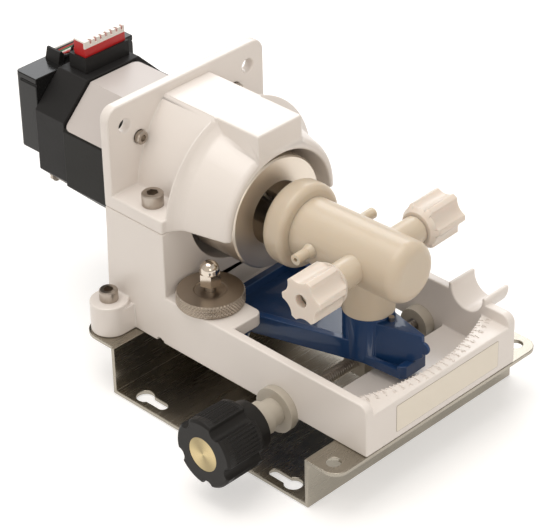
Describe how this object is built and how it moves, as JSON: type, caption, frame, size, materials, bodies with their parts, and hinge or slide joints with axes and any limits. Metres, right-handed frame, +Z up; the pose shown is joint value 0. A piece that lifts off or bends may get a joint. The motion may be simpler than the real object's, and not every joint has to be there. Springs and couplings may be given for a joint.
{
  "type": "stepper metering pump",
  "caption": "Stepper-driven piston metering pump on a channel base, with a swinging pump head set by a lead screw knob against a stroke scale.",
  "frame": {"origin": "middle of the mounting channel's underside", "axes": "+Z up, -Y towards the pump head, +Y towards the motor, -X towards the adjusting knob"},
  "size_m": [0.1277, 0.1883, 0.1053],
  "materials": {
    "channel_steel": "satin sheet steel",
    "white_casting": "glossy white powder coat",
    "screw_steel": "machined",
    "blue_enamel": "glossy dark blue coat",
    "nylon": "translucent white",
    "dark_steel": "machined",
    "knurled_steel": "knurled",
    "bright_nickel": "polished",
    "knob_plastic": "moulded black",
    "brass_disc": "spun",
    "motor_black": "satin black",
    "lamination_steel": "machined",
    "bearing_steel": "ground",
    "driver_steel": "turned",
    "ceramic": "ground ceramic",
    "head_polymer": "machined milky polymer",
    "seal_rubber": "matt",
    "nut_polymer": "moulded milky polymer",
    "connector_black": "moulded",
    "contact_gold": "plated",
    "plug_red": "moulded",
    "cover_white": "moulded",
    "lead_insulation": "insulated wire"
  },
  "bodies": {
    "base": {"base_channel": "channel_steel", "base_frame": "white_casting", "frame_screws": "screw_steel", "frame_nuts": "screw_steel", "left_bushing": "nylon", "right_bushing": "nylon", "lock_stud": "dark_steel", "acorn_nut": "bright_nickel", "shroud": "white_casting", "shroud_screws": "screw_steel", "motor_body": "motor_black", "motor_stator": "lamination_steel", "motor_bearings": "bearing_steel", "motor_end_cap": "motor_black", "motor_rear_cover": "motor_black", "motor_screws": "screw_steel", "motor_nuts": "screw_steel", "end_cap_screws": "screw_steel", "connector_block": "connector_black", "header_pins": "contact_gold", "plug_housing": "plug_red", "plug_cover": "cover_white", "lead_wires": "lead_insulation", "cable_clip": "connector_black"},
    "rotor": {"motor_rotor": "lamination_steel", "motor_shaft": "bearing_steel", "driver": "driver_steel", "driver_set_screw": "screw_steel", "bearing_race": "bearing_steel"},
    "ball": {"drive_ball": "bearing_steel"},
    "carrier": {"swing_carrier": "blue_enamel", "pivot_screw": "screw_steel", "index_pin": "screw_steel", "stem_set_screw": "screw_steel", "head_body": "head_polymer", "head_collar": "head_polymer", "lip_seal": "seal_rubber", "head_liner": "ceramic", "port_ferrules": "head_polymer", "wash_tubes": "head_polymer"},
    "piston": {"piston": "ceramic", "piston_cap": "bearing_steel", "drive_pin": "bearing_steel"},
    "adjuster": {"lead_screw": "dark_steel", "thrust_collar": "nylon", "screw_clip": "screw_steel", "adjust_knob": "knob_plastic", "knob_cap": "brass_disc", "knob_set_screw": "screw_steel"},
    "traveller": {"traveller_nut": "nylon"},
    "lock_disc": {"lock_disc": "knurled_steel"},
    "left_nut": {"left_port_nut": "nut_polymer"},
    "right_nut": {"right_port_nut": "nut_polymer"}
  },
  "joints": [
    {"name": "driver_spin", "type": "hinge", "parent": "base", "child": "rotor", "pos_m": [0, 0.0235, 0.066], "axis": [0, 1, 0], "continuous": true},
    {"name": "ball_swivel", "type": "hinge", "parent": "rotor", "child": "ball", "pos_m": [0, 0.0235, 0.0827], "axis": [0, 0, 1], "range_deg": [-20, 18]},
    {"name": "lead_screw_turn", "type": "hinge", "parent": "base", "child": "adjuster", "pos_m": [-0.04, -0.0216, 0.0208], "axis": [1, 0, 0], "range_deg": [-5020, 5578]},
    {"name": "carrier_swing", "type": "hinge", "parent": "base", "child": "carrier", "pos_m": [0, 0.0235, 0.0265], "axis": [0, 0, 1], "range_deg": [-20, 18]},
    {"name": "traveller_slide", "type": "slide", "parent": "base", "child": "traveller", "axis": [1, 0, 0], "range_m": [-0.0164, 0.0148]},
    {"name": "piston_spin", "type": "hinge", "parent": "carrier", "child": "piston", "pos_m": [0, 0.0235, 0.066], "axis": [-0.0349, 0.9994, 0], "continuous": true},
    {"name": "lock_disc_turn", "type": "hinge", "parent": "base", "child": "lock_disc", "pos_m": [-0.02833, 0.02152, 0.0425], "axis": [0, 0, 1], "range_deg": [0, 720]},
    {"name": "left_nut_turn", "type": "hinge", "parent": "carrier", "child": "left_nut", "pos_m": [0.00179, -0.02787, 0.066], "axis": [-0.9994, -0.0349, 0], "range_deg": [0, 720]},
    {"name": "right_nut_turn", "type": "hinge", "parent": "carrier", "child": "right_nut", "pos_m": [0.00179, -0.02787, 0.066], "axis": [0.9994, 0.0349, 0], "range_deg": [0, 720]}
  ],
  "couplings": [
    {"joint": "carrier_swing", "follows": "lead_screw_turn", "ratio": -0.0035812},
    {"joint": "traveller_slide", "follows": "lead_screw_turn", "m_per_rad": -0.00016839},
    {"joint": "ball_swivel", "follows": "lead_screw_turn", "ratio": -0.0035812},
    {"joint": "piston_spin", "follows": "driver_spin", "ratio": 1}
  ]
}
